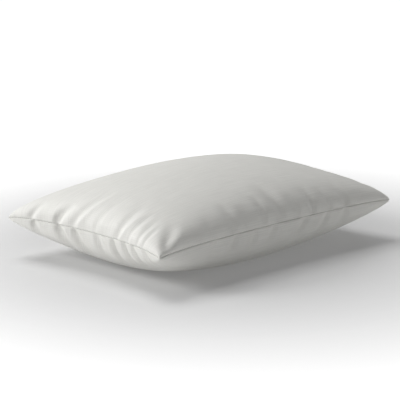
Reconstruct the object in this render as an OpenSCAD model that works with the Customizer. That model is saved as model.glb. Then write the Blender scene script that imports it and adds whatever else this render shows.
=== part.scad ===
// Bed pillow: a knife-edge cover with a zip in one long side, over a fibre-filled inner pillow.
// +X runs along the long sides, +Y points at the zip side and +Z is up.
// The origin is under the middle of the pillow, on the surface it rests on.

/* [Pillow form] */
// Length from corner to corner
pillow_l = 684; // [600:1:820]
// Width from corner to corner
pillow_w = 456; // [380:1:560]
// Height of the seam above the surface
seam_h = 90; // [70:1:110]
// Height of the crown above the seam
crown_h = 90; // [70:1:110]
// Depth below the seam that the underside would reach if it didn't lie on anything
belly_h = 115; // [105:1:150]
// How far each short side pulls in at its middle
pull_short = 28; // [10:1:40]
// How far each long side pulls in at its middle
pull_long = 15; // [8:1:24]
// How far the corners droop below the seam
corner_drop = 5; // [0:0.5:8]

/* [Cover] */
// Thickness of the cover fabric
cover_t = 0.8; // [0.6:0.1:1.2]
// Width of the seam allowance inside the cover
cover_allowance = 12; // [8:0.5:15]
// Gap between two pieces that lie on each other
ply_gap = 0.3; // [0.2:0.05:0.6]
// Width of a sewing thread
thread_w = 0.4; // [0.3:0.05:0.6]
// Distance of the seam threads from the folded edge
stitch_inset = 3; // [2:0.5:5]

/* [Zip] */
// Length of the zip between the ends of its tapes
zip_l = 560; // [400:5:600]
// Width of each half of the closed chain
coil_w = 2; // [1.6:0.1:2.4]
// Thickness of the chain
coil_t = 1.8; // [1.4:0.1:2.2]
// Width of each tape
tape_w = 9; // [7:0.5:10]
// Thickness of the tapes
tape_t = 0.5; // [0.3:0.1:0.7]
// Gap between the slider and each edge of the slot in the cover
slot_gap = 1.5; // [1:0.25:2]
// Gap between the two halves of the chain
coil_gap = 0.6; // [0.5:0.1:1]
// Length of the stops at each end of the chain
stop_l = 3; // [2:0.5:4]

/* [Slider] */
// Length of the slider
slider_l = 10; // [8:0.5:12]
// Thickness of the slider's two plates
plate_t = 1; // [0.8:0.1:1.4]
// Running clearance between the slider and the chain
slider_gap = 0.2; // [0.15:0.05:0.3]
// Width of the crown that holds the pull
crown_w = 1.6; // [1.2:0.1:2]
// Length of the pull from its pivot to its tip
pull_l = 20; // [16:1:26]
// Thickness of the pull
pull_t = 1.1; // [0.9:0.1:1.4]

/* [Inner pillow] */
// Thickness of the ticking fabric
ticking_t = 0.6; // [0.4:0.1:1]
// Width of the seam allowance inside the ticking
ticking_allowance = 8; // [6:0.5:12]
// Gap between the cover's seam allowance and the ticking's edge
ticking_gap = 2; // [1:0.5:4]
// Length of the stitched-up filling opening
closing_l = 200; // [120:5:240]

/* [Care label] */
// Length of the label along the seam
label_l = 45; // [30:1:60]
// Height of the label above the seam allowance
label_h = 15; // [12:1:18]
// Thickness of the label
label_t = 0.3; // [0.2:0.1:0.5]

/* [Hidden] */
$fn = 48;

// How the form falls away from its crown: along X, along Y, and up each face.
fall_u = 1.79;
fall_v = 1.73;
crown_power = 0.36;
belly_power = 0.37;
// Only the corners droop, so the power is a high one.
droop_power = 8;

// The zip side is an arc about a far centre beyond the pillow: its radius, and that centre's place.
zip_r = (pow(pillow_l / 2, 2) + pow(pull_long, 2)) / (2 * pull_long);
zip_y = pillow_w / 2 - pull_long + zip_r;
slot_end = zip_l / 2 + ply_gap;
slot_run = 18;

// Half the width of the slider, and the height of the slot that it runs in.
half_w = coil_gap / 2 + coil_w + slider_gap + 1;
slot_h = 2 * (half_w + slot_gap);

// Depths of the zip's layers inside the outline, and the slider's two plates round them.
coil_in = 0.5;
tape_in = coil_in + coil_t + 0.1;
front_in = coil_in - slider_gap;
rear_in = tape_in + tape_t + slider_gap;
tape_end = zip_l / 2 - ply_gap;
coil_end = zip_l / 2 - stop_l - slider_gap;
slider_s = coil_end - slider_l / 2;

// Fold of the hem along the slot, and the lift of a closed seam's edge off its middle plane.
hem_fold = 2 * cover_t;
rim = 0.15;

// Insets of the inner layers from the cover's outline, and how much lower than it they lie.
ticking_in = cover_allowance + ticking_gap;
ticking_low = cover_t + 4 * ply_gap;
fibre_in = ticking_in + ticking_allowance + 2;
fibre_low = ticking_low + ticking_t + 2 * ply_gap;

// Grid of a panel: even along the zip, and closer together towards the edges.
mid_steps = 8;
end_steps = 7;
side_steps = 12;
edge_power = 2.2;
slot_u = slot_end / (pillow_l / 2);
run_u = (slot_end + slot_run) / (pillow_l / 2);
half_u = concat(
    [for (k = [0:mid_steps]) slot_u * k / mid_steps],
    [for (k = [0:end_steps]) 1 - (1 - run_u) * pow(1 - k / end_steps, 2)]);
half_v = [for (k = [0:side_steps]) 1 - pow(1 - k / side_steps, edge_power)];
us = both_ways(half_u);
vs = both_ways(half_v);

function both_ways(half) = let (n = len(half) - 1)
    concat([for (k = [0:n - 1]) -half[n - k]], half);

// Place in plan of the point (u, v) of the form, each from -1 to 1, set in from the outline.
function plan(u, v, inset) = [
    u * (pillow_l / 2 - inset - pull_short * (1 - v * v)),
    v * (pillow_w / 2 - inset - pull_long * (1 - u * u))];

// How full the form is at (u, v): 0 along the seam and 1 in the middle.
function fullness(u, v) =
    max(0, (1 - pow(abs(u), fall_u)) * (1 - pow(abs(v), fall_v)));

// Height of the seam at (u, v), which droops at the corners.
function seam_z(u, v) = seam_h - corner_drop * pow(abs(u * v), droop_power);

// Distance from the seam to the upper face (side 1) or the underside (side -1), less an allowance.
function depth(side, u, v, low) = side > 0
    ? (crown_h - low) * pow(fullness(u, v), crown_power)
    : min((belly_h - low) * pow(fullness(u, v), belly_power), seam_h - low);

function form_point(side, u, v, inset, low, edge) =
    let (p = plan(u, v, inset))
    [p[0], p[1], seam_z(u, v) + side * max(edge, depth(side, u, v, low))];

// How far the zip slot is open at (u, v): 1 along the slot, 0 on the sewn edges.
function slot_open(u, v) = v < 1 ? 0
    : max(0, min(1, (slot_end + slot_run - abs(u) * pillow_l / 2) / slot_run));

// The grid's outline, once round, as index pairs.
function outline(nu, nv) = concat(
    [for (i = [0:nu - 2]) [i, 0]],
    [for (j = [0:nv - 2]) [nu - 1, j]],
    [for (i = [nu - 1:-1:1]) [i, nv - 1]],
    [for (j = [nv - 1:-1:1]) [0, j]]);

// Triangles of a grid of points, split from each corner towards the middle.
function grid_faces(nu, nv, first, flip) = [
    for (i = [0:nu - 2], j = [0:nv - 2])
    let (
        a = first + i * nv + j,
        b = a + nv,
        c = b + 1,
        d = a + 1,
        rising = (i < (nu - 1) / 2) == (j < (nv - 1) / 2),
        pair = rising ? [[a, b, c], [a, c, d]] : [[a, b, d], [b, c, d]])
    for (t = pair) flip ? t : [t[2], t[1], t[0]]];

// Triangles of the band between two closed rings of n points.
function ring_faces(ring_a, ring_b, flip) = let (n = len(ring_a)) [
    for (k = [0:n - 1])
    let (m = (k + 1) % n)
    for (t = [[ring_a[k], ring_a[m], ring_b[m]], [ring_a[k], ring_b[m], ring_b[k]]])
    flip ? [t[2], t[1], t[0]] : t];

// One sewn panel: a dome of fabric with its seam allowance turned in along the edge.
module panel(side, inset, low, t, allowance, zipped) {
    nu = len(us);
    nv = len(vs);
    ring = outline(nu, nv);
    n = len(ring);
    function open(u, v) = zipped ? slot_open(u, v) : 0;
    function lift(u, v) = rim + (slot_h / 2 - rim) * open(u, v);
    function band(u, v) = allowance + (hem_fold - allowance) * open(u, v);
    outer = [for (u = us, v = vs) form_point(side, u, v, inset, low, lift(u, v))];
    inner = [for (u = us, v = vs)
        form_point(side, u, v, inset + t, low + t, lift(u, v) + t)];
    function band_point(q, z) =
        let (u = us[q[0]], v = vs[q[1]], p = plan(u, v, inset + band(u, v)))
        [p[0], p[1], seam_z(u, v) + side * (lift(u, v) + z)];
    band_low = [for (q = ring) band_point(q, 0)];
    band_high = [for (q = ring) band_point(q, t)];
    ring_a = [for (q = ring) q[0] * nv + q[1]];
    ring_d = [for (k = ring_a) nu * nv + k];
    ring_b = [for (k = [0:n - 1]) 2 * nu * nv + k];
    ring_c = [for (k = ring_b) n + k];
    up = side > 0;
    polyhedron(
        points = concat(outer, inner, band_low, band_high),
        faces = concat(
            grid_faces(nu, nv, 0, !up),
            grid_faces(nu, nv, nu * nv, up),
            ring_faces(ring_a, ring_b, !up),
            ring_faces(ring_b, ring_c, !up),
            ring_faces(ring_c, ring_d, !up)),
        convexity = 6);
}

// A closed solid of the pillow's form, set in from the outline.
module full_form(inset, low) {
    nu = len(us);
    nv = len(vs);
    upper = [for (u = us, v = vs) form_point(1, u, v, inset, low, rim)];
    under = [for (u = us, v = vs) form_point(-1, u, v, inset, low, rim)];
    ring_a = [for (q = outline(nu, nv)) q[0] * nv + q[1]];
    ring_b = [for (k = ring_a) nu * nv + k];
    polyhedron(
        points = concat(upper, under),
        faces = concat(
            grid_faces(nu, nv, 0, false),
            grid_faces(nu, nv, nu * nv, true),
            ring_faces(ring_a, ring_b, false)),
        convexity = 4);
}

// A square-section strip that follows the seam through the stations, between two insets and heights.
module seam_strip(stations, inset_a, inset_b, z_a, z_b) {
    n = len(stations);
    points = [for (q = stations, c = [[inset_a, z_a], [inset_b, z_a], [inset_b, z_b], [inset_a, z_b]])
        let (p = plan(q[0], q[1], c[0]))
        [p[0], p[1], seam_z(q[0], q[1]) + c[1]]];
    sides = [for (k = [0:n - 2], c = [0:3])
        let (a = 4 * k + c, b = 4 * k + (c + 1) % 4)
        for (t = [[a, b, b + 4], [a, b + 4, a + 4]]) t];
    ends = [[0, 3, 2], [0, 2, 1],
        [4 * n - 4, 4 * n - 3, 4 * n - 2], [4 * n - 4, 4 * n - 2, 4 * n - 1]];
    polyhedron(points = points, faces = concat(sides, ends), convexity = 6);
}

// Stations along one edge of the form, from one end of it to the other.
function along_v(u, from, to, steps) =
    [for (k = [0:steps]) [u, from + (to - from) * k / steps]];
function along_u(v, from, to, steps) =
    [for (k = [0:steps]) [from + (to - from) * k / steps, v]];

// The two threads of a lockstitch seam, above and below the allowances.
module lockstitch(stations, inset, t) {
    for (side = [-1, 1]) {
        near = side * (rim + t + ply_gap);
        far = near + side * thread_w;
        seam_strip(stations, inset, inset + thread_w, min(near, far), max(near, far));
    }
}

// Puts a child on the zip's arc: X along the zip, Y outward from the seam, Z up.
module on_zip(s) {
    translate([0, zip_y, seam_h])
        rotate([0, 0, s / zip_r * 180 / PI])
            translate([0, -zip_r, 0])
                children();
}

// An arc-shaped bar along the zip, between two places along it, two insets and two heights.
module zip_bar(s_a, s_b, inset_a, inset_b, z_a, z_b) {
    translate([0, zip_y, seam_h])
        rotate([0, 0, 270 + s_a / zip_r * 180 / PI])
            rotate_extrude(angle = (s_b - s_a) / zip_r * 180 / PI, $fn = 1440)
                translate([zip_r + inset_a, z_a])
                    square([inset_b - inset_a, z_b - z_a]);
}

module cover_top_panel() {
    color("#e6e6e0") panel(1, 0, 0, cover_t, cover_allowance, true);
}

module cover_bottom_panel() {
    color("#dcdcd6") panel(-1, 0, 0, cover_t, cover_allowance, true);
}

// The zip side is left out: the zip closes it.
module cover_seam_thread() {
    route = concat(
        along_v(-1, 1 - 2 * cover_allowance / pillow_w, -1, 28),
        along_u(-1, -1 + 2 * stitch_inset / pillow_l, 1, 36),
        along_v(1, -1 + 2 * stitch_inset / pillow_w, 1 - 2 * cover_allowance / pillow_w, 28));
    color("#8a8a86") lockstitch(route, stitch_inset, cover_t);
}

module zip_tape(side) {
    low = coil_gap / 2;
    high = low + tape_w;
    color("#dedcd4") zip_bar(-tape_end, tape_end, tape_in, tape_in + tape_t,
        side > 0 ? low : -high, side > 0 ? high : -low);
}

module zip_tape_upper() {
    zip_tape(1);
}

module zip_tape_lower() {
    zip_tape(-1);
}

// The outer form of one half of the coil chain.
module zip_coil(side) {
    low = coil_gap / 2;
    high = low + coil_w;
    color("#e9e8e2") zip_bar(-coil_end, coil_end, coil_in, coil_in + coil_t,
        side > 0 ? low : -high, side > 0 ? high : -low);
}

module zip_coil_upper() {
    zip_coil(1);
}

module zip_coil_lower() {
    zip_coil(-1);
}

// A clamped stop just past the end of each half of the chain.
module zip_top_stops() {
    low = coil_gap / 2;
    high = low + coil_w + 0.4;
    color("#b9bcbe") {
        zip_bar(coil_end + slider_gap, tape_end, coil_in - 0.2, coil_in + coil_t, low, high);
        zip_bar(coil_end + slider_gap, tape_end, coil_in - 0.2, coil_in + coil_t, -high, -low);
    }
}

// One stop that holds both halves of the chain together.
module zip_bottom_stop() {
    high = coil_gap / 2 + coil_w + 0.4;
    color("#b9bcbe")
        zip_bar(-tape_end, -coil_end - slider_gap, coil_in - 0.2, coil_in + coil_t, -high, high);
}

// Topstitching beside the slot: one thread outside the cover, one behind the tape.
module zip_stitching(side) {
    z = slot_h / 2 + 2;
    low = side > 0 ? z : -z - thread_w;
    color("#d2d2cc") {
        zip_bar(-tape_end, tape_end, -thread_w / 2, 0, low, low + thread_w);
        zip_bar(-tape_end, tape_end, tape_in + tape_t + ply_gap / 2,
            tape_in + tape_t + ply_gap / 2 + thread_w, low, low + thread_w);
    }
}

module zip_stitching_upper() {
    zip_stitching(1);
}

module zip_stitching_lower() {
    zip_stitching(-1);
}

// Dense cross stitches that stop the slot from tearing at its two ends.
module zip_bar_tacks() {
    tack_h = slot_h - 2;
    color("#d2d2cc")
        for (s = [slot_end, -slot_end - 3])
            zip_bar(s, s + 3, -0.6, -0.2, -tack_h / 2, tack_h / 2);
}

pivot_y = -front_in + plate_t + 1.15;

// Outline of a slider plate, wider at the end where the chain parts.
module plate_outline() {
    r = 1;
    hull() {
        for (z = [-1, 1]) {
            translate([slider_l / 2 - r, z * (half_w - r)]) circle(r);
            translate([-slider_l / 2 + r, z * (half_w - r - 0.5)]) circle(r);
        }
    }
}

// A plate lying in the X-Z plane, from the depth y_low outward by the plate's thickness.
module slider_plate(y_low) {
    translate([0, y_low + plate_t, 0])
        rotate([90, 0, 0])
            linear_extrude(plate_t)
                plate_outline();
}

// Two plates joined by a web that runs between the halves of the chain.
module zip_slider_body() {
    rail_z = coil_gap / 2 + coil_w + slider_gap;
    rail_l = slider_l - 3;
    rail_y = tape_in - slider_gap - front_in;
    web_t = coil_gap - 0.34;
    color("#b9bcbe") on_zip(slider_s) {
        slider_plate(-front_in);
        slider_plate(-rear_in - plate_t);
        translate([-1, -rear_in - 0.2, -web_t / 2])
            cube([slider_l / 2, rear_in - front_in + 0.4, web_t]);
        for (z = [rail_z, -rail_z - 0.6])
            translate([-rail_l / 2, -front_in - rail_y, z])
                cube([rail_l, rail_y + 0.2, 0.6]);
    }
}

// An arch along the slider, over the pull's pivot bar.
module zip_slider_crown() {
    span = 6.4;
    rise = 3.1;
    wall = 0.8;
    color("#c4c7c9") on_zip(slider_s)
        translate([0, -front_in + plate_t + 0.05, -crown_w / 2])
            linear_extrude(crown_w)
                difference() {
                    translate([-span / 2, 0]) square([span, rise]);
                    translate([-span / 2 + wall, -1]) square([span - 2 * wall, rise - wall + 1]);
                }
}

// A leaf spring that presses the lock against the chain, lying on the front plate.
module zip_lock_spring() {
    color("#a7aaad") on_zip(slider_s)
        translate([-2, -front_in + plate_t + 0.05, -crown_w / 2 + 0.2])
            cube([4, 0.15, crown_w - 0.4]);
}

// A tab on two arms, with a round bar that turns under the crown.
module zip_pull() {
    bar_r = 0.55;
    arm_z = crown_w / 2 + 0.35;
    arm_w = 0.9;
    tab_from = 4.5;
    tab_w = 6;
    color("#c4c7c9") on_zip(slider_s) translate([0, pivot_y, 0]) {
        translate([0, 0, -arm_z - arm_w])
            cylinder(r = bar_r, h = 2 * (arm_z + arm_w));
        for (z = [arm_z, -arm_z - arm_w])
            translate([-tab_from - 1, -bar_r + 0.05, z])
                cube([tab_from + 1, 2 * bar_r - 0.1, arm_w]);
        translate([0, pull_t / 2, 0])
            rotate([90, 0, 0])
                linear_extrude(pull_t)
                    difference() {
                        hull() {
                            translate([-tab_from - 0.5, -tab_w / 2 + 0.5]) square([0.5, tab_w - 1]);
                            translate([-tab_from - 1.5, -tab_w / 2]) square([0.5, tab_w]);
                            translate([-pull_l + tab_w / 2, 0]) circle(tab_w / 2);
                        }
                        translate([-pull_l + tab_w / 2, 0]) circle(1.5);
                    }
    }
}

module ticking_top_panel() {
    color("#f2f1ec") panel(1, ticking_in, ticking_low, ticking_t, ticking_allowance, false);
}

module ticking_bottom_panel() {
    color("#efeee9") panel(-1, ticking_in, ticking_low, ticking_t, ticking_allowance, false);
}

// Sewn all round but for the middle of one short side, where the filling went in.
module ticking_seam_thread() {
    gap_v = closing_l / pillow_w;
    inset = ticking_in + stitch_inset;
    route = concat(
        along_v(1, gap_v + 0.02, 1, 10),
        along_u(1, 1 - 2 * inset / pillow_l, -1, 32),
        along_v(-1, 1 - 2 * inset / pillow_w, -1, 24),
        along_u(-1, -1 + 2 * inset / pillow_l, 1, 32),
        along_v(1, -1 + 2 * inset / pillow_w, -gap_v - 0.02, 10));
    color("#e4e3dd") lockstitch(route, inset, ticking_t);
}

// The later row of stitches that closes the filling opening.
module ticking_closing_stitch() {
    gap_v = closing_l / pillow_w;
    color("#e4e3dd")
        lockstitch(along_v(1, -gap_v, gap_v, 16), ticking_in + stitch_inset - 1, ticking_t);
}

module fibre_filling() {
    color("#fbfbf8") full_form(fibre_in, fibre_low);
}

// A blank label held in the seam, standing inside the cover beside the inner pillow.
module care_label() {
    from = 0.45;
    to = from + 2 * label_l / pillow_w;
    inset = cover_allowance / 2 + 0.5;
    low = rim + cover_t + ply_gap;
    color("#f4f4f2")
        seam_strip(along_v(1, from, to, 8), inset, inset + label_t, low, low + label_h);
}

cover_top_panel();
cover_bottom_panel();
cover_seam_thread();
zip_tape_upper();
zip_tape_lower();
zip_coil_upper();
zip_coil_lower();
zip_top_stops();
zip_bottom_stop();
zip_stitching_upper();
zip_stitching_lower();
zip_bar_tacks();
zip_slider_body();
zip_slider_crown();
zip_lock_spring();
zip_pull();
ticking_top_panel();
ticking_bottom_panel();
ticking_seam_thread();
ticking_closing_stitch();
fibre_filling();
care_label();
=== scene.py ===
"""A bed pillow: the looks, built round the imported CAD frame. Metres, +Z up."""
import math

import bmesh
import bpy
import numpy as np
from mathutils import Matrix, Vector


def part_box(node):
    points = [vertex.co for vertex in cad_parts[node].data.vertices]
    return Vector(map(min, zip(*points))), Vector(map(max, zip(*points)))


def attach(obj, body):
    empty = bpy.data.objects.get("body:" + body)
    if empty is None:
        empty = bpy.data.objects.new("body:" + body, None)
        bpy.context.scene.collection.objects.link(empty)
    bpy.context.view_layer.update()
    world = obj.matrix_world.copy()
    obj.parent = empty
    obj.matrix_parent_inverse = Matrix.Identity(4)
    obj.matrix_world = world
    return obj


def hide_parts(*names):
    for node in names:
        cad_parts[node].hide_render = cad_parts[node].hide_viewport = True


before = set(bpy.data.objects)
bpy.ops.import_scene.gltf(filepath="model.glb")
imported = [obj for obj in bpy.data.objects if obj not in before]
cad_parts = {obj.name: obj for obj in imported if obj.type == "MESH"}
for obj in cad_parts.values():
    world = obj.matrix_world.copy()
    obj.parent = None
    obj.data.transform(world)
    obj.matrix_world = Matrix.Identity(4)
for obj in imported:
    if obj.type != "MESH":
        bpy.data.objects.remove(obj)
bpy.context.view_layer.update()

# ---------------------------------------------------------------- sizes

low, high = (np.array(c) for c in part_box("cover_top_panel"))
LENGTH = high[0] - low[0]       # over the corners
WIDTH = high[1] - low[1]
SEAM_Z = (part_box("zip_coil_upper")[0].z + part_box("zip_coil_lower")[1].z) / 2
CROWN = high[2] - SEAM_Z
BELLY_FLAT = SEAM_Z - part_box("cover_bottom_panel")[0].z     # from the seam down to the floor

PULL_SHORT = 0.028              # how far the sides pull in between the corners
PULL_LONG = 0.015
DROOP, DROOP_POWER = 0.005, 8   # how far the corners hang, and how close to them it starts
TAPER, TAPER_POWER = 0.35, 14   # the share of its fullness that a corner loses, and likewise
FALL_U, FALL_V = 1.79, 1.73     # how the form falls away from its crown
CROWN_POWER, BELLY_POWER = 0.36, 0.37
BELLY = 0.115                   # depth of the underside if nothing pressed on it

FLAT_L, FLAT_W = 0.700, 0.500   # the cover laid flat, inside its seams
COVER_T = 0.0008                # the cover cloth's thickness
ALLOWANCE = 0.012               # cloth turned in at the seam
HEM = 0.0045                    # cloth turned in along the zip's slot
RIM = 0.00015                   # half the gap between two sewn edges
STITCH = 0.0030                 # from one stitch to the next

SLOT_HALF = 0.005               # half the height of the zip's slot
SLOT_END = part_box("zip_tape_upper")[1].x + 0.001
SLOT_RUN = 0.012                # over this length the slot closes
GAPE = 0.012                    # how far in from the slot its lips are still parted

# The zip follows a circle through the long side's ends and middle.
ZIP_R = ((LENGTH / 2) ** 2 + PULL_LONG ** 2) / (2 * PULL_LONG)
ZIP_Y = WIDTH / 2 - PULL_LONG + ZIP_R
COIL_IN = 0.0005                # the chain's face, in from the outline
COIL_T = 0.0018
COIL_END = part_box("zip_coil_upper")[1].x

# How far inside the cover's outline and below its crown the ticking and the filling lie.
TICKING_IN, TICKING_LOW = 0.014, 0.002
FIBRE_IN, FIBRE_LOW = 0.026, 0.008
TICKING_L, TICKING_W = FLAT_L - 2 * TICKING_IN, FLAT_W - 2 * TICKING_IN
TICKING_T = 0.0006
TICKING_TURN = 0.008
TICKING_CLEAR = 0.0004          # kept free under a fold of the cover

# Cells along and across each grid of cloth.
COVER_GRID = (122, 88)
TICKING_GRID = (96, 70)
FIBRE_GRID = (90, 66)

PANELS = {1: "top", -1: "bottom"}           # side 1 is above the seam, side -1 below it
ZIP_HALVES = {1: "upper", -1: "lower"}

# ---------------------------------------------------------------- the pillow's form


def outline(u, v, inset=0.0):
    """Place in plan of (u, v), each from -1 to 1."""
    x = u * (LENGTH / 2 - inset - PULL_SHORT * (1 - v * v))
    y = v * (WIDTH / 2 - inset - PULL_LONG * (1 - u * u))
    return x, y


def fullness(u, v):
    """1 in the middle, falling to 0 all round the seam."""
    along = np.clip(1 - np.abs(u) ** FALL_U, 0, 1)
    across = np.clip(1 - np.abs(v) ** FALL_V, 0, 1)
    return along * across


def droop(u, v):
    """How far the seam hangs below its middle height, which it only does at the corners."""
    return -DROOP * np.abs(u * v) ** DROOP_POWER


def corner_taper(u, v):
    """The cloth can't fill its corners as roundly as the plain form does."""
    return 1 - TAPER * np.abs(u * v) ** TAPER_POWER


def form(u, v, side, inset=0.0, lower=0.0):
    """The smooth form that the filling gives, above the seam (side 1) or below it (side -1)."""
    x, y = outline(u, v, inset)
    full = fullness(u, v) * corner_taper(u, v)
    if side > 0:
        z = (CROWN - lower) * full ** CROWN_POWER
    else:
        z = np.minimum((BELLY - lower) * full ** BELLY_POWER, BELLY_FLAT - lower)
    return np.stack([x, y, SEAM_Z + droop(u, v) + side * z], -1)


def slot_open(x):
    """1 along the zip's slot, 0 where the long side is sewn."""
    t = np.clip((SLOT_END + SLOT_RUN - np.abs(x)) / SLOT_RUN, 0, 1)
    return t * t * (3 - 2 * t)


# ---------------------------------------------------------------- folds

# Folds that the gathered seam throws, in mm on the flat cloth. Each has its edge, three points
# that it runs through (how far in from the seam, and where along it), its half width, and its
# depth (negative for a ridge).
TOP_FOLDS = [
    ("x-", (0, 188), (18, 174), (48, 156), 8, 5.5),
    ("x-", (0, 116), (18, 98), (52, 74), 9, 10.0),
    ("x-", (0, 66), (40, 40), (120, 16), 10, 4.4),
    ("x-", (8, 48), (50, 16), (140, 8), 7, -2.0),
    ("x-", (0, -10), (50, -22), (120, -24), 10, 1.8),
    ("x-", (0, -78), (35, -92), (110, -84), 9, 4.6),
    ("x-", (2, -98), (40, -112), (95, -116), 6, -1.8),
    ("x-", (0, -122), (40, -130), (90, -128), 6, 2.8),
    ("x-", (0, -158), (40, -160), (85, -152), 7, 3.0),
    ("x-", (0, -180), (35, -180), (75, -170), 6, 2.8),
    ("x-", (20, -238), (50, -218), (96, -184), 12, 5.0),
    ("x-", (42, -236), (76, -220), (112, -190), 12, -2.4),
    ("y-", (2, -124), (35, -126), (80, -122), 11, 3.6),
    ("y-", (2, -78), (30, -84), (60, -84), 10, 3.0),
    ("y-", (2, -32), (35, -33), (75, -36), 8, 4.5),
    ("y-", (2, 22), (45, 14), (110, 4), 14, 6.0),
    ("y-", (0, 68), (30, 62), (60, 58), 9, 3.0),
    ("y-", (0, 118), (28, 110), (70, 102), 9, 6.0),
    ("y-", (0, 166), (24, 158), (64, 146), 8, 4.5),
    ("y-", (0, 218), (24, 208), (64, 188), 10, 6.0),
    ("y-", (2, -196), (30, -190), (66, -180), 12, 2.4),
]
BOTTOM_FOLDS = [
    ("x-", (0, 178), (14, 170), (40, 150), 8, 6.9),
    ("x-", (0, 112), (22, 92), (64, 66), 11, 11.2),
    ("x-", (2, 86), (22, 72), (58, 44), 5, -3.0),
    ("x-", (0, 58), (26, 42), (70, 14), 9, 10.0),
    ("x-", (0, -14), (24, -26), (70, -38), 10, 6.2),
    ("x-", (0, -68), (28, -74), (76, -84), 8, 9.4),
    ("x-", (0, -106), (28, -116), (76, -128), 8, 9.4),
    ("x-", (0, -140), (26, -150), (72, -160), 7, 8.1),
    ("x-", (0, -182), (24, -194), (70, -204), 9, 6.2),
    ("y-", (0, -178), (26, -184), (60, -196), 10, 3.0),
    ("y-", (0, -118), (26, -126), (60, -140), 10, 3.6),
    ("y-", (0, -56), (26, -66), (60, -78), 9, 3.6),
    ("y-", (0, 0), (26, -14), (60, -30), 10, 4.2),
    ("y-", (0, 98), (26, 72), (64, 40), 10, 5.4),
    ("y-", (0, 160), (26, 142), (64, 116), 9, 4.8),
    ("y-", (0, 214), (22, 204), (56, 184), 10, 4.8),
]

# The range, in mm, that a scattered fold's reach, its sideways stray and its half width come from.
REACH, STRAY, HALF_WIDTH = (45, 110), (-8, 8), (6, 11)


def scattered(edge, seed, spacing, deep):
    """More such folds along a whole edge, at uneven steps, leaning in from the corners."""
    rng = np.random.default_rng(seed)
    half = 500 * (FLAT_W if edge[0] == "x" else FLAT_L)
    folds = []
    at = -half + 0.6 * spacing
    while at < half - 0.5 * spacing:
        # Near a corner there is only room for short ones.
        reach = rng.uniform(*REACH) * min(1.0, 2.6 * (1 - abs(at) / half) + 0.25)
        lean = -0.45 * at / half * reach + rng.uniform(*STRAY)
        size = rng.uniform(0.35, 1.0)
        folds.append((edge, (0, at), (0.4 * reach, at + 0.55 * lean), (reach, at + lean),
                      rng.uniform(*HALF_WIDTH), deep * size))
        at += spacing * rng.uniform(0.7, 1.35)
    return folds


def fold_field(s, t, edge, start, middle, end, width, deep):
    """How far in one fold draws each point of the flat cloth, in metres."""
    half_l, half_w = 500 * FLAT_L, 500 * FLAT_W
    inward, along = {
        "x-": (s + half_l, t), "x+": (half_l - s, t),
        "y-": (t + half_w, s), "y+": (half_w - t, s),
    }[edge]
    best = np.full(s.shape, np.inf)
    share = np.zeros(s.shape)
    # The fold runs along a parabola through its three points; b becomes its control point.
    a, b, c = (np.array(p, float) for p in (start, middle, end))
    b = 2 * b - (a + c) / 2
    steps = 10
    bend = [(1 - k) ** 2 * a + 2 * k * (1 - k) * b + k * k * c for k in np.linspace(0, 1, steps + 1)]
    for k in range(steps):
        (px, py), (qx, qy) = bend[k], bend[k + 1]
        dx, dy = qx - px, qy - py
        f = np.clip(((inward - px) * dx + (along - py) * dy) / (dx * dx + dy * dy), 0, 1)
        far = np.hypot(inward - px - f * dx, along - py - f * dy)
        near = far < best
        best = np.where(near, far, best)
        share = np.where(near, (k + f) / steps, share)
    # It starts narrow and widens, is deepest before its middle, and has a low shoulder on each side.
    wide = width * (0.75 + 0.7 * share)
    rise = np.sin(np.pi * np.clip(share * 0.97 + 0.015, 0, 1) ** 0.72)
    off = (best / wide) ** 2
    return 0.001 * deep * rise * (1.12 * np.exp(-off) - 0.24 * np.exp(-off / 3.6))


# ---------------------------------------------------------------- cloth


def evened(u, v, side, turns=14):
    """Slides a grid along the form until its points are evenly spaced on every row and column."""
    for _ in range(turns):
        for axis in (0, 1):
            p = form(u, v, side)
            step = np.linalg.norm(np.diff(p, axis=axis), axis=-1)
            run = np.insert(np.cumsum(step, axis=axis), 0, 0, axis=axis)
            if axis == 0:
                for j in range(u.shape[1]):
                    want = np.linspace(0, run[-1, j], u.shape[0])
                    u[:, j], v[:, j] = (np.interp(want, run[:, j], c[:, j].copy()) for c in (u, v))
            else:
                for i in range(u.shape[0]):
                    want = np.linspace(0, run[i, -1], u.shape[1])
                    u[i], v[i] = (np.interp(want, run[i], c[i].copy()) for c in (u, v))
    return u, v


def laid_on(side, cells, inset=0.0, lower=0.0):
    """Where a grid of cloth lies on the form, and the grid's unit coordinates."""
    nx, ny = cells
    u, v = np.meshgrid(np.linspace(-1, 1, nx + 1), np.linspace(-1, 1, ny + 1), indexing="ij")
    u, v = evened(u, v, side)
    return form(u, v, side, inset, lower), u, v


def threads(p, shear, bend, span, ease):
    """Pairs of grid points that the cloth holds at a distance, in groups that share no point."""
    nx, ny = p.shape[0] - 1, p.shape[1] - 1
    q = p.reshape(-1, 3)
    index = np.arange(len(q)).reshape(nx + 1, ny + 1)
    hx, hy = FLAT_L / nx, FLAT_W / ny
    i, j = np.meshgrid(np.arange(nx + 1), np.arange(ny + 1), indexing="ij")
    kinds = [
        (1, 0, hx, 1.0), (0, 1, hy, 1.0),
        (1, 1, math.hypot(hx, hy), shear), (1, -1, math.hypot(hx, hy), shear),
        (span, 0, span * hx, bend), (0, span, span * hy, bend),
    ]
    groups = []
    for di, dj, flat, stiff in kinds:
        ok = (i + di <= nx) & (j + dj <= ny) & (j + dj >= 0)
        a, b = index[i[ok], j[ok]], index[i[ok] + di, j[ok] + dj]
        laid = np.linalg.norm(q[b] - q[a], axis=1)
        rest = laid + ease * np.maximum(flat - laid, 0)
        parity = (i[ok] // di) % 2 if di else (j[ok] // dj) % 2
        for c in (0, 1):
            groups.append((a[parity == c], b[parity == c], rest[parity == c], stiff))
    return groups


def grid_normals(p):
    """The unit normal at each point of a grid."""
    n = np.cross(np.gradient(p, axis=0), np.gradient(p, axis=1))
    return n / (np.linalg.norm(n, axis=-1, keepdims=True) + 1e-12)


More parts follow.
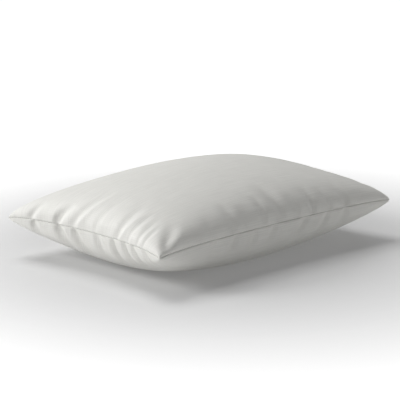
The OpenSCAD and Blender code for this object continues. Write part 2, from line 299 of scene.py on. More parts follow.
def settled(p, way, steps=40, rounds=4, held=0.1, carried=0.9, shear=0.25, bend=0.3, span=4, ease=0.1):
    """The cloth's grid after it has settled: sewn at its edge, and held out by the filling."""
    free = np.ones(p.shape[:2], bool)
    free[[0, -1]] = False
    free[:, [0, -1]] = False
    free = free.ravel()
    groups = threads(p, shear, bend, span, ease)
    shape = p.shape
    p = p.reshape(-1, 3)
    way = way.reshape(-1, 3)
    start = p.copy()
    sewn = p[~free].copy()
    weight = free.astype(float)
    speed = np.zeros_like(p)
    for _ in range(steps):
        q = p + carried * speed
        q += held * ((start - q) * way).sum(1, keepdims=True) * way
        for _ in range(rounds):
            for a, b, rest, stiff in groups:
                pa, pb = q[a], q[b]
                d = pb - pa
                size = np.sqrt((d * d).sum(1))
                wa, wb = weight[a], weight[b]
                c = stiff * (size - rest) / size / np.maximum(wa + wb, 1)
                q[a] = pa + (wa * c)[:, None] * d
                q[b] = pb - (wb * c)[:, None] * d
            q[~free] = sewn
        speed = q - p
        p = q
    return p.reshape(shape)


def flat_grid(cells):
    """A grid of points on the flat cloth, in mm from its middle."""
    nx, ny = cells
    return np.meshgrid(
        np.linspace(-500 * FLAT_L, 500 * FLAT_L, nx + 1),
        np.linspace(-500 * FLAT_W, 500 * FLAT_W, ny + 1), indexing="ij")


def cover_grid(side, folds):
    """One panel of the cover after its folds have sunk in and it has settled."""
    p, u, v = laid_on(side, COVER_GRID)
    s, t = flat_grid(COVER_GRID)
    way = side * grid_normals(p)
    # The long side with the zip stands open by the slot.
    from_zip = (FLAT_W / 2 - 0.001 * t) / GAPE
    p[..., 2] += side * (RIM + (SLOT_HALF - RIM) * slot_open(p[..., 0]) * np.exp(-from_zip ** 2))
    sink = sum(fold_field(s, t, *f) for f in folds)
    p = settled(p - sink[..., None] * way, way)
    p[..., 2] = np.maximum(p[..., 2], 0.0)
    return p, u, v, sink


# ---------------------------------------------------------------- meshes


def finer(grid, axis, places):
    """A grid's rows or columns at fractional places, on a cubic through its points."""
    grid = np.moveaxis(grid, axis, 0)
    k = np.clip(np.floor(places).astype(int), 0, len(grid) - 2)
    f = (places - k).reshape(-1, *[1] * (grid.ndim - 1))
    g = np.concatenate([2 * grid[:1] - grid[1:2], grid, 2 * grid[-1:] - grid[-2:-1]])
    a, b, c, d = g[k], g[k + 1], g[k + 2], g[k + 3]
    out = b + 0.5 * f * (c - a + f * (2 * a - 5 * b + 4 * c - d + f * (3 * (b - c) + d - a)))
    return np.moveaxis(out, 0, axis)


BY_SEAM = np.array([0, 0.08, 0.17, 0.28, 0.45, 0.7])    # closer rows by the seam, in grid steps


def places(n, per):
    """The places of a finer grid's rows: per to each of the n cells, and closer by both seams."""
    inner = np.linspace(1, n - 1, (n - 2) * per + 1)
    return np.concatenate([BY_SEAM, inner, n - BY_SEAM[::-1]])


def make_mesh(name, points, faces, uvs=None):
    """A mesh object from points and from one or more arrays of faces."""
    groups = faces if isinstance(faces, list) else [faces]
    groups = [np.asarray(g, int) for g in groups]
    loops = np.concatenate([g.ravel() for g in groups])
    sizes = np.concatenate([np.full(len(g), g.shape[1]) for g in groups])
    starts = np.concatenate([[0], np.cumsum(sizes)[:-1]])
    mesh = bpy.data.meshes.new(name)
    mesh.vertices.add(len(points))
    mesh.vertices.foreach_set("co", np.asarray(points, np.float32).ravel())
    mesh.loops.add(len(loops))
    mesh.loops.foreach_set("vertex_index", loops.astype(np.int32))
    mesh.polygons.add(len(sizes))
    mesh.polygons.foreach_set("loop_start", starts.astype(np.int32))
    mesh.update(calc_edges=True)
    if uvs is not None:
        layer = mesh.uv_layers.new(name="cloth")
        layer.data.foreach_set("uv", np.asarray(uvs, np.float32)[loops].ravel())
    mesh.polygons.foreach_set("use_smooth", np.full(len(sizes), True))
    mesh.validate()
    obj = bpy.data.objects.new(name, mesh)
    bpy.context.scene.collection.objects.link(obj)
    return obj


def quads(n, m, first=0, flip=False):
    """The faces of a grid of n by m points, the first of which has the given number."""
    k = first + np.arange(n * m).reshape(n, m)
    q = np.stack([k[:-1, :-1], k[1:, :-1], k[1:, 1:], k[:-1, 1:]], -1).reshape(-1, 4)
    return q[:, ::-1] if flip else q


def ring_of(n, m):
    """The numbers of a grid's edge points, once round."""
    k = np.arange(n * m).reshape(n, m)
    return np.concatenate([k[:-1, 0], k[-1, :-1], k[:0:-1, -1], k[0, :0:-1]])


def band(a, b, flip):
    """The faces between two rings of points."""
    q = np.stack([a, b, np.roll(b, -1), np.roll(a, -1)], -1)
    return q[:, ::-1] if flip else q


def panel(name, side, p, u, v, thick, turned, flat_uv):
    """A closed piece of cloth: its face, its back, and the allowance turned in along its edge."""
    n, m = p.shape[:2]
    back = p - side * thick * grid_normals(p)
    ring = ring_of(n, m)
    edge = p.reshape(-1, 3)[ring]
    fold = edge.copy()
    fold[:, 0], fold[:, 1] = outline(u.ravel()[ring], v.ravel()[ring], turned(edge[:, 0], v.ravel()[ring]))
    upper = fold + (0, 0, side * thick)
    count = n * m
    ring_b = 2 * count + np.arange(len(ring))
    ring_c = ring_b + len(ring)
    down = side < 0
    faces = np.concatenate([
        quads(n, m, 0, down), quads(n, m, count, not down),
        band(ring, ring_b, down), band(ring_b, ring_c, down), band(ring_c, ring + count, down)])
    points = np.concatenate([p.reshape(-1, 3), back.reshape(-1, 3), fold, upper])
    flat = flat_uv.reshape(-1, 2)
    return make_mesh(name, points, faces, np.concatenate([flat, flat, flat[ring], flat[ring]]))


ANY_WAY = (0.31, 0.17, 0.93)     # a direction that no thread or wire runs in


def tube(path, radius, sides=6):
    """A round thread or wire along a path of points, closed at its ends."""
    path = np.asarray(path, float)
    ahead = np.gradient(path, axis=0)
    ahead /= np.linalg.norm(ahead, axis=1, keepdims=True)
    across = np.cross(ahead, ANY_WAY)
    across /= np.linalg.norm(across, axis=1, keepdims=True)
    other = np.cross(ahead, across)
    turn = np.linspace(0, 2 * np.pi, sides, endpoint=False)
    ring = np.cos(turn)[None, :, None] * across[:, None] + np.sin(turn)[None, :, None] * other[:, None]
    points = (path[:, None] + radius * ring).reshape(-1, 3)
    k = np.arange(len(path) * sides).reshape(len(path), sides)
    nxt = np.roll(k, -1, axis=1)
    walls = np.stack([k[:-1], nxt[:-1], nxt[1:], k[1:]], -1).reshape(-1, 4)
    return points, [walls, k[0][None, ::-1], k[-1][None]]


def joined(parts):
    """Several pieces of points and faces as one."""
    points, by_size, first = [], {}, 0
    for p, faces in parts:
        points.append(p)
        for f in faces:
            by_size.setdefault(f.shape[1], []).append(f + first)
        first += len(p)
    return np.concatenate(points), [np.concatenate(f) for f in by_size.values()]


def placed(piece, body, slot, *nodes):
    """Puts a piece on its body, in place of the CAD nodes that it stands for."""
    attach(piece, body)
    if nodes:
        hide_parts(*nodes)


# ---------------------------------------------------------------- materials


def new_material(name, colour, roughness):
    """A material and its shader, with nothing else in it yet."""
    mat = bpy.data.materials.new(name)
    mat.use_nodes = True
    nodes = mat.node_tree.nodes
    nodes.clear()
    out = nodes.new("ShaderNodeOutputMaterial")
    shader = nodes.new("ShaderNodeBsdfPrincipled")
    shader.inputs["Base Color"].default_value = (*colour, 1)
    shader.inputs["Roughness"].default_value = roughness
    mat.node_tree.links.new(shader.outputs[0], out.inputs[0])
    return mat, shader


def add(mat, kind, inputs=(), **settings):
    """A node with its settings and inputs; an input is a value, or another node's output."""
    node = mat.node_tree.nodes.new(kind)
    for key, value in settings.items():
        setattr(node, key, value)
    for key, value in dict(inputs).items():
        if isinstance(value, bpy.types.NodeSocket):
            mat.node_tree.links.new(value, node.inputs[key])
        else:
            node.inputs[key].default_value = value
    return node


def noise(mat, place, scale, detail=3.0):
    """Noise from 0 to 1, stretched by a different scale on each axis."""
    where = add(mat, "ShaderNodeMapping", {"Vector": place, "Scale": scale}).outputs[0]
    return add(mat, "ShaderNodeTexNoise", {"Vector": where, "Scale": 1.0, "Detail": detail,
                                           "Roughness": 0.6}).outputs["Fac"]


def spread(mat, value, low, high, to_low, to_high):
    """A value's range from low to high, carried over to another range."""
    return add(mat, "ShaderNodeMapRange", {"Value": value, "From Min": low, "From Max": high,
                                           "To Min": to_low, "To Max": to_high}).outputs[0]


def maths(mat, operation, *values):
    """A sum or the like of values or other nodes' outputs."""
    return add(mat, "ShaderNodeMath", dict(enumerate(values)), operation=operation).outputs[0]


def tinted(mat, colour, shade):
    """A colour made lighter or darker by another node's output."""
    return add(mat, "ShaderNodeVectorMath", {0: colour, "Scale": shade}, operation="SCALE").outputs[0]


def cloth_material(name, colour, yarn, slub, depth, sheen, from_uv=True):
    """Plain weave with slubs in its yarns, in the cloth's own flat coordinates where it has them.

    yarn is a yarn's width, slub the strength of its slubs' tone, and depth the slubs' relief.
    """
    mat, shader = new_material(name, colour, 0.88)
    if from_uv:
        place = add(mat, "ShaderNodeUVMap", uv_map="cloth").outputs[0]
    else:
        place = add(mat, "ShaderNodeTexCoord").outputs["Object"]
    weft = noise(mat, place, (14, 420, 400), 4.0)
    warp = noise(mat, place, (600, 18, 400))
    cloudy = noise(mat, place, (22, 26, 24), 4.0)
    waves = []
    for direction in ("X", "Y"):
        waves.append(add(mat, "ShaderNodeTexWave", {
            "Vector": place, "Scale": 0.05 / yarn, "Distortion": 0.6, "Detail": 1.0,
            "Detail Scale": 2.0}, bands_direction=direction).outputs["Fac"])
    weave = maths(mat, "MULTIPLY", *waves)
    slubs = maths(mat, "MULTIPLY_ADD", warp, 0.2, maths(mat, "MULTIPLY", weft, 0.8))
    tone = spread(mat, slubs, 0.32, 0.68, 1 - slub, 1 + 0.5 * slub)
    tone = maths(mat, "MULTIPLY", tone, spread(mat, cloudy, 0.3, 0.7, 0.985, 1.01))
    # Darker in the weave's hollows between the yarns: painted shade.
    tone = maths(mat, "MULTIPLY", tone, spread(mat, weave, 0.0, 1.0, 0.97, 1.02))
    mat.node_tree.links.new(tinted(mat, colour, tone), shader.inputs["Base Color"])
    fine = add(mat, "ShaderNodeBump", {"Height": weave, "Strength": 0.5, "Distance": 0.15 * yarn})
    rough = add(mat, "ShaderNodeBump", {"Height": slubs, "Strength": 0.7, "Distance": depth,
                                        "Normal": fine.outputs[0]})
    mat.node_tree.links.new(rough.outputs[0], shader.inputs["Normal"])
    shader.inputs["Sheen Weight"].default_value = sheen
    shader.inputs["Sheen Roughness"].default_value = 0.5
    shader.inputs["Specular IOR Level"].default_value = 0.15
    return mat


def metal_material(name, colour):
    """Nickel that was tumbled and brushed along the slider, a little duller in patches."""
    mat, shader = new_material(name, colour, 0.3)
    place = add(mat, "ShaderNodeTexCoord").outputs["Object"]
    brushed = noise(mat, place, (900, 9000, 9000))
    dull = noise(mat, place, (500, 500, 500), 4.0)
    shader.inputs["Metallic"].default_value = 1.0
    links = mat.node_tree.links
    links.new(tinted(mat, colour, spread(mat, dull, 0.3, 0.7, 0.88, 1.03)), shader.inputs["Base Color"])
    links.new(spread(mat, brushed, 0.3, 0.7, 0.24, 0.42), shader.inputs["Roughness"])
    bump = add(mat, "ShaderNodeBump", {"Height": brushed, "Strength": 0.25, "Distance": 0.00003})
    links.new(bump.outputs[0], shader.inputs["Normal"])
    return mat


def nylon_material(name, colour):
    """Slightly cloudy nylon that light sinks into a little."""
    mat, shader = new_material(name, colour, 0.35)
    place = add(mat, "ShaderNodeTexCoord").outputs["Object"]
    cloudy = noise(mat, place, (300, 300, 300))
    links = mat.node_tree.links
    links.new(tinted(mat, colour, spread(mat, cloudy, 0.3, 0.7, 0.96, 1.02)), shader.inputs["Base Color"])
    links.new(spread(mat, cloudy, 0.3, 0.7, 0.3, 0.42), shader.inputs["Roughness"])
    shader.inputs["Subsurface Weight"].default_value = 0.15
    shader.inputs["Subsurface Radius"].default_value = (0.0006, 0.0006, 0.0005)
    return mat


def thread_material(name, colour):
    """Twisted yarn: fine slanted ridges, with a faint halo of loose fibres."""
    mat, shader = new_material(name, colour, 0.75)
    place = add(mat, "ShaderNodeTexCoord").outputs["Object"]
    twist = add(mat, "ShaderNodeTexWave", {"Vector": place, "Scale": 220.0, "Distortion": 1.5},
                bands_direction="DIAGONAL").outputs["Fac"]
    worn = noise(mat, place, (120, 120, 120))
    # Darker in the twist's grooves, which is painted shade, and a little lighter or darker at random along
    # the yarn.
    tone = maths(mat, "MULTIPLY", spread(mat, twist, 0, 1, 0.85, 1.08),
                 spread(mat, worn, 0.3, 0.7, 0.85, 1.15))
    mat.node_tree.links.new(tinted(mat, colour, tone), shader.inputs["Base Color"])
    bump = add(mat, "ShaderNodeBump", {"Height": twist, "Strength": 0.5, "Distance": 0.00008})
    mat.node_tree.links.new(bump.outputs[0], shader.inputs["Normal"])
    shader.inputs["Sheen Weight"].default_value = 0.2
    return mat


COVER_CLOTH = cloth_material("cover_cloth", (0.805, 0.80, 0.765),
                             yarn=0.0007, slub=0.075, depth=0.0009, sheen=0.08)
TICKING_CLOTH = cloth_material("ticking_cloth", (0.86, 0.86, 0.83),
                               yarn=0.0005, slub=0.02, depth=0.0002, sheen=0.05)
TAPE_CLOTH = cloth_material("zip_tape_cloth", (0.76, 0.755, 0.71),
                            yarn=0.0006, slub=0.03, depth=0.0001, sheen=0.05, from_uv=False)
LABEL_CLOTH = cloth_material("label_satin", (0.9, 0.9, 0.89),
                             yarn=0.0003, slub=0.01, depth=0.00005, sheen=0.3, from_uv=False)
FIBRE = cloth_material("fibre_fill", (0.93, 0.93, 0.92),
                       yarn=0.002, slub=0.03, depth=0.002, sheen=0.6, from_uv=False)
# The seam thread's near-black colour is painted shade: it darkens the seam line as the shade in the groove
# between the panels would.
SHADE_DARK_SEAM_THREAD = thread_material("seam_thread", (0.17, 0.17, 0.16))
TOP_THREAD = thread_material("top_thread", (0.72, 0.72, 0.69))
NICKEL = metal_material("zip_nickel", (0.62, 0.63, 0.64))
NYLON = nylon_material("coil_nylon", (0.8, 0.795, 0.75))


def dress(obj, mat):
    """Gives a piece its one material."""
    obj.data.materials.clear()
    obj.data.materials.append(mat)


# ---------------------------------------------------------------- cover

GROOVE, GROOVE_WIDE = 0.0013, 0.0011    # how deep the seam sinks between the panels, and how wide
FOLDS = {
    1: TOP_FOLDS
       + scattered("x+", seed=11, spacing=38, deep=3.2)
       + scattered("y+", seed=12, spacing=46, deep=1.0),
    -1: BOTTOM_FOLDS
        + scattered("x+", seed=21, spacing=36, deep=3.8)
        + scattered("y+", seed=22, spacing=46, deep=1.0),
}


def flat_places(pu, pv, n, m):
    """Where a finer grid's rows and columns lie on the flat cloth, in metres from its middle."""
    s = (pu / n - 0.5) * FLAT_L
    t = (pv / m - 0.5) * FLAT_W
    return np.stack(np.meshgrid(s, t, indexing="ij"), -1)


def refined(grid, u, v, per=2):
    """A finer grid, its unit coordinates, and its places on the flat cloth."""
    n, m = u.shape[0] - 1, u.shape[1] - 1
    pu, pv = places(n, per), places(m, per)
    grid, u, v = (finer(finer(a, 0, pu), 1, pv) for a in (grid, u, v))
    return grid, u, v, flat_places(pu, pv, n, m)


def grooved(p, uv):
    """Sinks the sewn edge in between the panels, but not where the zip's slot is."""
    from_x = FLAT_L / 2 - np.abs(uv[..., 0])
    from_y = FLAT_W / 2 - np.abs(uv[..., 1])
    sewn = np.where(uv[..., 1] > 0, 1 - slot_open(p[..., 0]), 1.0)
    p[..., 0] -= np.sign(uv[..., 0]) * GROOVE * np.exp(-(from_x / GROOVE_WIDE) ** 2)
    p[..., 1] -= np.sign(uv[..., 1]) * GROOVE * sewn * np.exp(-(from_y / GROOVE_WIDE) ** 2)
    return p


def cover_turned(x, v):
    """The allowance turned in: wide on the sewn sides, and a narrow hem along the slot."""
    slot = np.where(v > 0.999, slot_open(x), 0.0)
    return ALLOWANCE + (HEM - ALLOWANCE) * slot


grids = {}                      # each panel's settled grid, and how deep its folds sink in there
outer_face = {}                 # each panel's finer grid
for side, label in PANELS.items():
    p, u, v, sink = cover_grid(side, FOLDS[side])
    grids[side] = (p, sink)
    p, u, v, uv = refined(p, u, v)
    p = grooved(p, uv)
    p[..., 2] = np.maximum(p[..., 2], 0.0)
    piece = panel(f"cover_{label}_cloth", side, p, u, v, COVER_T, cover_turned, uv)
    placed(piece, "pillow", "cover_fabric", f"cover_{label}_panel")
    dress(piece, COVER_CLOTH)
    outer_face[side] = p

# ---------------------------------------------------------------- seam stitches

ALONG = np.linspace(-1, 1, 7)   # the places along a stitch that its thread runs through
SEAM_THREAD_R, SEAM_ARCH = 0.00024, 0.00022     # the thread's radius, and how far it stands out


def edge_path(side):
    """A panel's three plain edges, from one end of the zip's side round to its other, in stitches."""
    p = outer_face[side]
    route = np.concatenate([p[0, ::-1], p[1:, 0], p[-1, 1:]])
    run = np.r_[0, np.cumsum(np.linalg.norm(np.diff(route, axis=0), axis=1))]
    count = int(run[-1] / STITCH)
    at = (np.arange(count) + 0.5) * STITCH
    return np.stack([np.interp(at, run, route[:, c]) for c in range(3)], -1)


def seam_stitches():
    """The glimpses of thread across the seam, each a little different."""
    rng = np.random.default_rng(5)
    route = edge_path(1)
    ahead = np.gradient(route, axis=0)
    ahead /= np.linalg.norm(ahead, axis=1, keepdims=True)
    out = np.cross(ahead, (0, 0, 1))
    reach = ALONG[:, None]
    arch = (1 - reach ** 4) * SEAM_ARCH
    parts = []
    for place, along, away in zip(route, ahead, out):
        # About a third of each stitch shows.
        half = 0.5 * STITCH * rng.uniform(0.30, 0.44)
        lean = rng.uniform(-0.00012, 0.00012)
        deep = -0.00005 + rng.uniform(-0.00008, 0.00006)
        middle = np.array([place[0], place[1], place[2] - RIM]) + deep * away
        path = middle + reach * half * along + reach * (0, 0, lean) + arch * away
        parts.append(tube(path, SEAM_THREAD_R))
    return make_mesh("cover_seam_stitches", *joined(parts))


piece = seam_stitches()
placed(piece, "pillow", "thread", "cover_seam_thread")
# The stitches get the near-black thread, whose darkness is painted shade for the seam's groove.
dress(piece, SHADE_DARK_SEAM_THREAD)

# ---------------------------------------------------------------- zip

COIL_PITCH, COIL_WIRE = 0.00125, 0.00027        # from turn to turn, and the wire's radius
COIL_HEEL, COIL_HEAD = 0.00225, 0.00018         # a turn's far and near end, from the zip's middle
STITCH_Z = SLOT_HALF + 0.0022                   # the topstitching's height, from the seam
TOP_THREAD_R, TOP_DIP = 0.00022, 0.00045        # the thread's radius, and how far a stitch's ends dip
BOBBIN_R, BOBBIN_DIP = 0.0002, 0.0002
BOBBIN_IN = 0.00315                             # the bobbin thread's inset, behind the tape
TACK_THREAD_R, TACK_STEP, TACK_ROWS = 0.00016, 0.0003, 9
TACK_HALF, TACK_IN = 0.0036, -0.0004            # half a bar tack's height, and its inset
TACK_BOW, TACK_LEAN = 0.0003, 0.00012           # how far its threads arch, and slant from row to row


def on_zip(s, inset, z):
    """A place s along the zip's arc, an inset from the outline, and z above the seam."""
    turn = np.asarray(s) / ZIP_R
    x = (ZIP_R + inset) * np.sin(turn)
    y = ZIP_Y - (ZIP_R + inset) * np.cos(turn)
    return np.stack(np.broadcast_arrays(x, y, SEAM_Z + z), -1)


def coil(name, half):
    """One half of the chain: a wire coiled flat, with its heads towards the other half."""
    per_turn = 14
    turns = int((2 * COIL_END - 0.001) / COIL_PITCH)
    t = np.linspace(0, turns, turns * per_turn + 1)
    s = (t - turns / 2 + half / 4) * COIL_PITCH
    angle = 2 * np.pi * t
    middle, reach = (COIL_HEEL + COIL_HEAD) / 2, (COIL_HEEL - COIL_HEAD) / 2 - COIL_WIRE
    deep = COIL_T / 2 - COIL_WIRE
    # Each turn is squarer than an ellipse.
    across = np.sign(np.cos(angle)) * np.abs(np.cos(angle)) ** 0.7
    out = np.sign(np.sin(angle)) * np.abs(np.sin(angle)) ** 0.8
    path = on_zip(s, COIL_IN + COIL_T / 2 + deep * out, half * (middle - reach * across))
    return make_mesh(name, *tube(path, COIL_WIRE))


for half, label in ZIP_HALVES.items():
    piece = coil(f"zip_coil_{label}_wire", half)
    placed(piece, "pillow", "zip_coil", f"zip_coil_{label}")
    dress(piece, NYLON)
    dress(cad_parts[f"zip_tape_{label}"], TAPE_CLOTH)


def topstitch(name, side):
    """A row of stitches beside the slot, lying on the cloth, and its bobbin side behind the tape."""
    rng = np.random.default_rng(30 + side)
    edge = outer_face[side][:, ::-1][:, :24]    # the panel's points nearest the slot, from the seam in
    count = int(2 * (SLOT_END - 0.001) / STITCH)
    at = (np.arange(count) - (count - 1) / 2) * STITCH
    # Where each row of the panel passes the height of the stitching.
    height = side * (edge[..., 2] - SEAM_Z)
    lines = []
    for k in range(len(edge)):
        reach = int(np.argmax(height[k] > STITCH_Z)) or 1
        f = (STITCH_Z - height[k, reach - 1]) / (height[k, reach] - height[k, reach - 1])
        lines.append(edge[k, reach - 1] + np.clip(f, 0, 1) * (edge[k, reach] - edge[k, reach - 1]))
    lines = np.array(lines)
    parts = []
    for place in at:
        half = 0.5 * STITCH * rng.uniform(0.72, 0.84)
        x = place + half * ALONG
        face = np.stack([np.interp(x, lines[:, 0], lines[:, c]) for c in range(3)], -1)
        face[:, 1] += TOP_THREAD_R - TOP_DIP * ALONG ** 6
        parts.append(tube(face, TOP_THREAD_R))
        behind = on_zip(x, BOBBIN_IN, side * STITCH_Z)
        behind[:, 1] += BOBBIN_DIP * ALONG ** 6
        parts.append(tube(behind, BOBBIN_R))
    return make_mesh(name, *joined(parts))


for side, label in ZIP_HALVES.items():
    piece = topstitch(f"zip_topstitch_{label}", side)
    placed(piece, "pillow", "thread", f"zip_stitching_{label}")
    dress(piece, TOP_THREAD)


def bar_tacks():
    """Zigzag stitches packed side by side across each end of the slot."""
    share = np.linspace(-1, 1, 9)
    bow = TACK_BOW * share ** 2
    parts = []
    for end in (-1, 1):
        for k in range(TACK_ROWS):
            s = end * (SLOT_END + 0.0005 + TACK_STEP * k)
            lean = TACK_LEAN * (1 if k % 2 else -1)
            path = on_zip(s + lean * share, TACK_IN + bow, TACK_HALF * share)
            parts.append(tube(path, TACK_THREAD_R))
    return make_mesh("zip_bar_tack_stitches", *joined(parts))


piece = bar_tacks()
placed(piece, "pillow", "thread", "zip_bar_tacks")
dress(piece, TOP_THREAD)


def softened(node, width, body):
    """The same metal piece as the CAD node, with its edges tumbled round."""
    # Faces this flush are merged, edges this sharp are rounded, and shading breaks at the last angle.
    flush, edge, shaded = math.radians(2), math.radians(30), math.radians(40)
    mesh = bmesh.new()
    mesh.from_mesh(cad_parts[node].data)
    bmesh.ops.remove_doubles(mesh, verts=mesh.verts, dist=1e-6)
    bmesh.ops.dissolve_limit(mesh, angle_limit=flush, verts=mesh.verts, edges=mesh.edges)
    sharp = [e for e in mesh.edges if len(e.link_faces) == 2 and e.calc_face_angle(0) > edge]
    bmesh.ops.bevel(mesh, geom=sharp, offset=width, segments=3, profile=0.6, affect="EDGES",
                    clamp_overlap=True)
    bmesh.ops.triangulate(mesh, faces=mesh.faces)
    data = bpy.data.meshes.new(node + "_metal")
    mesh.to_mesh(data)
    mesh.free()
    data.polygons.foreach_set("use_smooth", np.full(len(data.polygons), True))
    data.set_sharp_from_angle(angle=shaded)
    piece = bpy.data.objects.new(node + "_metal", data)
    bpy.context.scene.collection.objects.link(piece)
    placed(piece, body, "zip_metal", node)
    dress(piece, NICKEL)


softened("zip_slider_body", width=0.00022, body="zip_slider")
softened("zip_slider_crown", width=0.0002, body="zip_slider")
softened("zip_pull", width=0.00018, body="zip_pull")
softened("zip_top_stops", width=0.00025, body="pillow")
softened("zip_bottom_stop", width=0.00025, body="pillow")
dress(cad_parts["zip_lock_spring"], NICKEL)
dress(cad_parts["care_label"], LABEL_CLOTH)

# ---------------------------------------------------------------- inner pillow

STILL, BLEND = 0.004, 0.01      # near the seam's height nothing gives way, and above it ever more


def neighbours(grid, mode):
    """The sum of each point's four neighbours; the mode says how the grid carries on past its edge."""
    pad = np.pad(grid, 1, mode=mode)
    return pad[:-2, 1:-1] + pad[2:, 1:-1] + pad[1:-1, :-2] + pad[1:-1, 2:]


def inner_grid(side, cells, inset, lower, clear):
    """A grid inside the cover that gives way wherever a fold of the cover sinks."""
    p, u, v = laid_on(side, cells, inset, lower)
    outer, sink = grids[side]
    points, depth = outer[::2, ::2].reshape(-1, 3), sink[::2, ::2].ravel()
    give = np.zeros(p.shape[:2])
    for i in range(len(p)):
        far = ((p[i][:, None] - points[None]) ** 2).sum(-1)
        give[i] = depth[far.argmin(1)]
    for _ in range(2):
        give = np.maximum(give, neighbours(give, "edge") / 4)
    way = side * grid_normals(p)
    hold = np.clip((np.abs(p[..., 2] - SEAM_Z) - STILL) / BLEND, 0, 1)
    return p - (hold * (np.maximum(give, 0) + clear))[..., None] * way, u, v


for side, label in PANELS.items():
    p, u, v = inner_grid(side, TICKING_GRID, TICKING_IN, TICKING_LOW, TICKING_CLEAR)
    p[[0, -1], :, 2] += side * RIM
    p[1:-1, [0, -1], 2] += side * RIM
    uv = np.stack(flat_grid(TICKING_GRID), -1) * 0.001 * (TICKING_L / FLAT_L, TICKING_W / FLAT_W)
    piece = panel(f"ticking_{label}_cloth", side, p, u, v, TICKING_T,
                  lambda x, v: TICKING_IN + TICKING_TURN, uv)
    placed(piece, "pillow", "ticking_fabric", f"ticking_{label}_panel")
    dress(piece, TICKING_CLOTH)


LUMPS = 0.0009                  # how deep the hollows between the filling's lumps are


def filling():
    """The filling as one lumpy pad."""
    rng = np.random.default_rng(8)
    halves = []
    for side in PANELS:
        p = inner_grid(side, FIBRE_GRID, FIBRE_IN, FIBRE_LOW, 0.0)[0]
        n, m = p.shape[:2]
        lumps = rng.normal(size=(n, m))
        for _ in range(8):
            lumps = (lumps + neighbours(lumps, "wrap")) / 5
        lumps *= LUMPS / lumps.std()
        lumps[[0, -1]] = 0
        lumps[:, [0, -1]] = 0
        halves.append(p - (side * np.abs(lumps))[..., None] * grid_normals(p))
    points = np.concatenate(halves).reshape(-1, 3)
    count = n * m
    faces = np.concatenate([quads(n, m), quads(n, m, count, True)])
    # The two halves share the upper one's edge.
    twin = np.arange(2 * count)
    ring = ring_of(n, m)
    twin[ring + count] = ring
    used, faces = np.unique(twin[faces], return_inverse=True)
    return make_mesh("fibre_filling_pad", points[used], faces.reshape(-1, 4))


piece = filling()
placed(piece, "pillow", "fibre_fill", "fibre_filling")
dress(piece, FIBRE)

dress(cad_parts["ticking_seam_thread"], TOP_THREAD)
dress(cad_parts["ticking_closing_stitch"], TOP_THREAD)

# ---------------------------------------------------------------- camera, light and floor

AZIMUTH, ELEVATION, DISTANCE = math.radians(-44.64), math.radians(13.7), 4.32
LENS, SENSOR = 184.4, 36
AIM_RIGHT, AIM_UP = -0.0050, 0.0126         # where the camera aims, from the pillow's middle
PAPER = (0.58, 0.58, 0.58)
PAPER_LOW = 0.0003                          # the paper lies this far under the cloth
# How brightly the floor glows a little way off and by the far wall: painted light, since the floor is no
# lamp.
FLOOR_GLOW, WALL_GLOW = 0.85, 0.3
FLOOR_R, WALL_R, WALL_H = 8.0, 14.0, 2.4    # where the floor starts to rise, and the wall it ends as
AROUND = 0.11                               # how bright the white world is
# Each light's place, size and power.
LIGHTS = {
    "key": ((-3.4, 2.0, 2.1), 1.5, 104),
    "overhead": ((-0.2, 1.4, 3.4), 2.0, 66),
    "right": ((3.6, -1.8, 0.9), 1.2, 9),
}


def softbox(name, place, size, power, aim):
    """A square lamp at a place, turned towards its aim."""
    light = bpy.data.objects.new(name, bpy.data.lights.new(name, "AREA"))
    light.data.shape = "SQUARE"
    light.data.size = size
    light.data.energy = power
    light.location = place
    light.rotation_euler = (Vector(place) - aim).to_track_quat("Z", "Y").to_euler()
    bpy.context.scene.collection.objects.link(light)


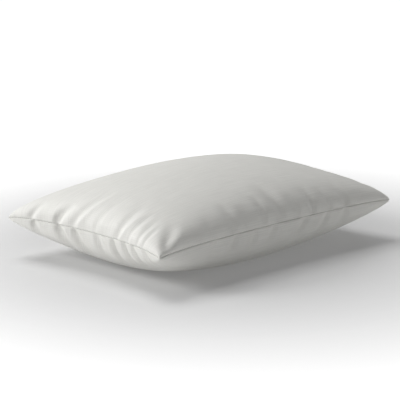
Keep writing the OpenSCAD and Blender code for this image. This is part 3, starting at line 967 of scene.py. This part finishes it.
def floor_material():
    """Pale paper that glows with painted light: faint by the pillow, brightest a little way off from it,
    and dimmer again by the wall.
    """
    mat, shader = new_material("floor_paper", PAPER, 0.9)
    shader.inputs["Specular IOR Level"].default_value = 0.0
    place = add(mat, "ShaderNodeTexCoord").outputs["Object"]
    far = add(mat, "ShaderNodeVectorMath", {0: place}, operation="LENGTH").outputs["Value"]
    grain = noise(mat, place, (40, 40, 40))
    # The floor's emission is painted light: faint by the pillow, so its shade stays, and stronger further
    # off.
    shader.inputs["Emission Color"].default_value = (1, 1, 1, 1)
    glow = maths(mat, "MINIMUM", spread(mat, far, 0.34, 1.1, 0.12, FLOOR_GLOW),
                 spread(mat, far, 3.5, 9.0, FLOOR_GLOW, WALL_GLOW))
    mat.node_tree.links.new(glow, shader.inputs["Emission Strength"])
    mat.node_tree.links.new(tinted(mat, PAPER, spread(mat, grain, 0.3, 0.7, 0.995, 1.005)),
                            shader.inputs["Base Color"])
    return mat


def sweep_floor():
    """A round paper floor that rises to a low wall, far away on every side."""
    turn = np.linspace(0, 2 * np.pi, 96, endpoint=False)
    rise = np.linspace(0, np.pi / 2, 12)
    radius = np.concatenate([[0.5, 2, 5], FLOOR_R + (WALL_R - FLOOR_R) * np.sin(rise)])
    height = np.concatenate([[0, 0, 0], WALL_H * (1 - np.cos(rise))]) - PAPER_LOW
    x = radius[:, None] * np.cos(turn)
    y = radius[:, None] * np.sin(turn)
    points = np.stack([x, y, height[:, None] + 0 * x], -1).reshape(-1, 3)
    k = np.arange(len(points)).reshape(x.shape)
    nxt = np.roll(k, -1, axis=1)
    faces = [k[:1], np.stack([k[:-1], k[1:], nxt[1:], nxt[:-1]], -1).reshape(-1, 4)]
    return make_mesh("floor", points, faces)


def studio():
    """The camera, the lamps, the white world and the floor."""
    scene = bpy.context.scene
    scene.view_settings.view_transform = "Standard"
    back = Vector((math.sin(AZIMUTH) * math.cos(ELEVATION),
                   -math.cos(AZIMUTH) * math.cos(ELEVATION), math.sin(ELEVATION)))
    middle = Vector((0, 0, SEAM_Z))
    right = (-back).cross(Vector((0, 0, 1))).normalized()
    up = right.cross(-back)
    aim = middle + AIM_RIGHT * right + AIM_UP * up
    camera = bpy.data.objects.new("camera", bpy.data.cameras.new("camera"))
    camera.data.lens = LENS
    camera.data.sensor_width = SENSOR
    camera.location = aim + DISTANCE * back
    camera.rotation_euler = back.to_track_quat("Z", "Y").to_euler()
    scene.collection.objects.link(camera)
    scene.camera = camera

    floor = sweep_floor()
    dress(floor, floor_material())

    world = bpy.data.worlds.new("world")
    world.use_nodes = True
    world.node_tree.nodes["Background"].inputs[0].default_value = (1, 1, 1, 1)
    world.node_tree.nodes["Background"].inputs[1].default_value = AROUND
    scene.world = world

    for name, (place, size, power) in LIGHTS.items():
        softbox(name, place, size, power, middle)


studio()
